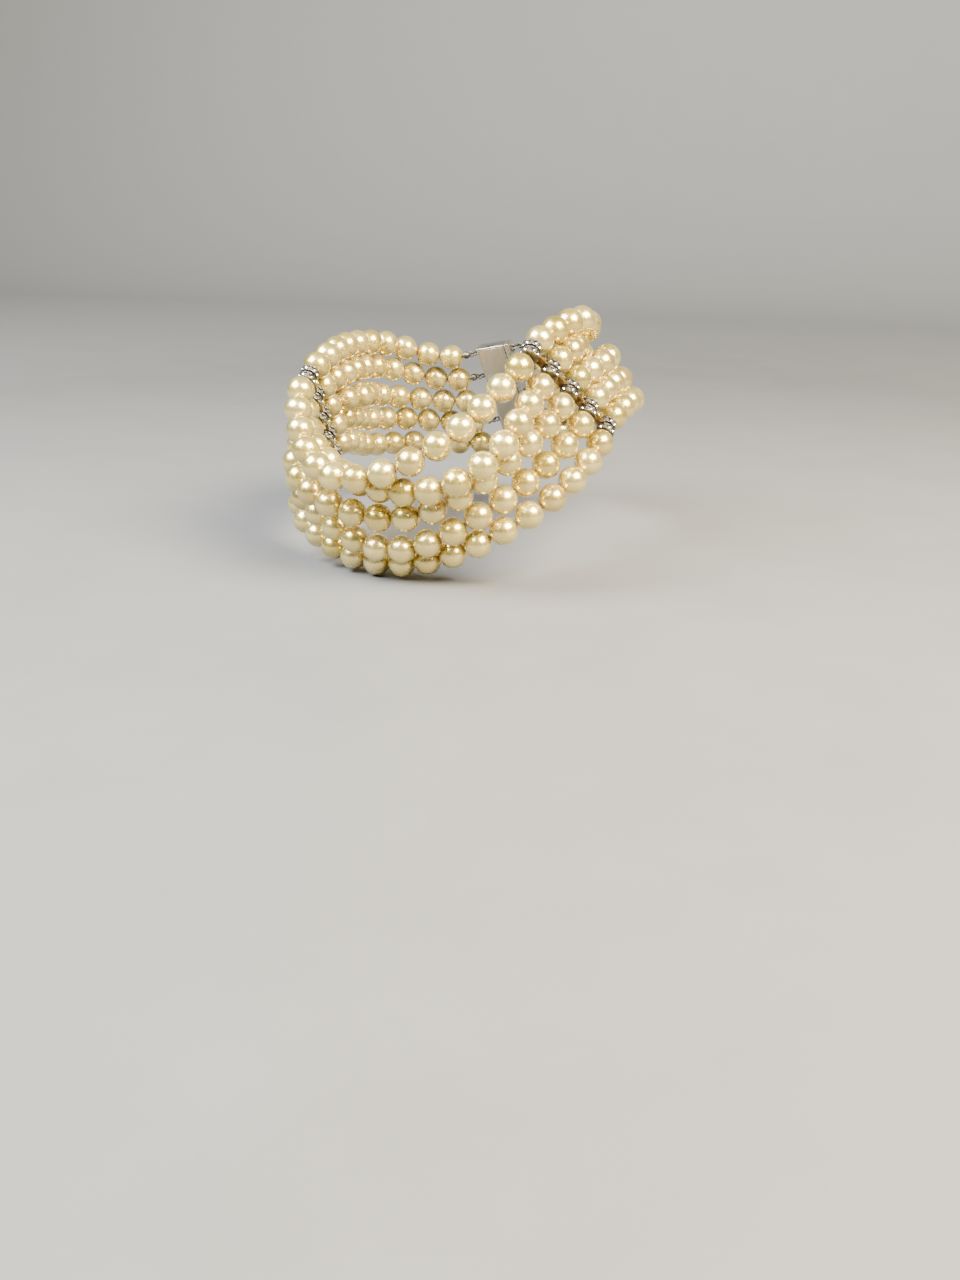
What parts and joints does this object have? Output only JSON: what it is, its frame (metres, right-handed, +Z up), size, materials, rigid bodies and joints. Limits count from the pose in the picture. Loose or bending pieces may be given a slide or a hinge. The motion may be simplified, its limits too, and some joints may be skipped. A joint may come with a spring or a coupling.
{
  "type": "pearl choker necklace",
  "caption": "Multi-strand choker of round faux pearls on thread, joined by slim spacer bars with crystal rondelles and closed at the back by a box clasp.",
  "frame": {"origin": "centre of the neck opening, level with the middle of the collar", "axes": "+Z up along the neck, -Y to the front of the choker, +Y to the clasp at the nape, +X to the side with the higher spacer bar"},
  "size_m": [0.1268, 0.1506, 0.0907],
  "materials": {
    "pearl": "pearlescent cream coating, glossy, faintly pink in the light and golden in the shade",
    "thread": "twisted cream nylon thread",
    "crystal": "clear cut crystal with a foiled back",
    "antique_silver": "darkened antique silver plate",
    "antique_gold": "aged gold plate, dark in the recesses",
    "clasp_metal": "antique silver plate, brushed",
    "spring_metal": "bright spring strip"
  },
  "bodies": {
    "choker": {"pearls_front_1": "pearl", "pearls_front_2": "pearl", "pearls_front_3": "pearl", "pearls_front_4": "pearl", "pearls_front_5": "pearl", "rondelles_left_back": "antique_silver", "rondelles_left_front": "antique_silver", "rondelles_right_back": "antique_silver", "rondelles_right_front": "antique_silver", "spacer_bar_left": "antique_gold", "spacer_bar_right": "antique_gold", "stones_left_back": "crystal", "stones_left_front": "crystal", "stones_right_back": "crystal", "stones_right_front": "crystal", "thread_front_1": "thread", "thread_front_2": "thread", "thread_front_3": "thread", "thread_front_4": "thread", "thread_front_5": "thread"},
    "back_right": {"bead_tips_right": "clasp_metal", "clasp_loops_right": "clasp_metal", "jump_rings_right": "clasp_metal", "pearls_right_1": "pearl", "pearls_right_2": "pearl", "pearls_right_3": "pearl", "pearls_right_4": "pearl", "pearls_right_5": "pearl", "thread_right_1": "thread", "thread_right_2": "thread", "thread_right_3": "thread", "thread_right_4": "thread", "thread_right_5": "thread", "tongue_plate": "clasp_metal"},
    "back_left": {"bead_tips_left": "clasp_metal", "clasp_back_plate": "clasp_metal", "clasp_box": "clasp_metal", "clasp_loops_left": "clasp_metal", "jump_rings_left": "clasp_metal", "pearls_left_1": "pearl", "pearls_left_2": "pearl", "pearls_left_3": "pearl", "pearls_left_4": "pearl", "pearls_left_5": "pearl", "thread_left_1": "thread", "thread_left_2": "thread", "thread_left_3": "thread", "thread_left_4": "thread", "thread_left_5": "thread"},
    "tongue_leaf": {"tongue_leaf": "spring_metal"}
  },
  "joints": [
    {"name": "swing_right", "type": "hinge", "parent": "choker", "child": "back_right", "pos_m": [0.05224, -0.00551, 0.0157], "axis": [0.5017, 0.5318, -0.6823], "range_deg": [0, 50], "deforming": ["tongue_leaf"]},
    {"name": "swing_left", "type": "hinge", "parent": "choker", "child": "back_left", "pos_m": [-0.04705, -0.0061, 0.00052], "axis": [0.1106, -0.5834, 0.8046], "range_deg": [0, 60]},
    {"name": "latch_press", "type": "hinge", "parent": "back_right", "child": "tongue_leaf", "pos_m": [-0.0012, 0.06566, -0.00341], "axis": [0.1858, 0.3536, -0.9167], "range_deg": [0, 7], "stiffness_Nm_per_rad": 0.02}
  ],
  "couplings": [
    {"joint": "swing_left", "follows": "swing_right", "ratio": 1.2}
  ]
}
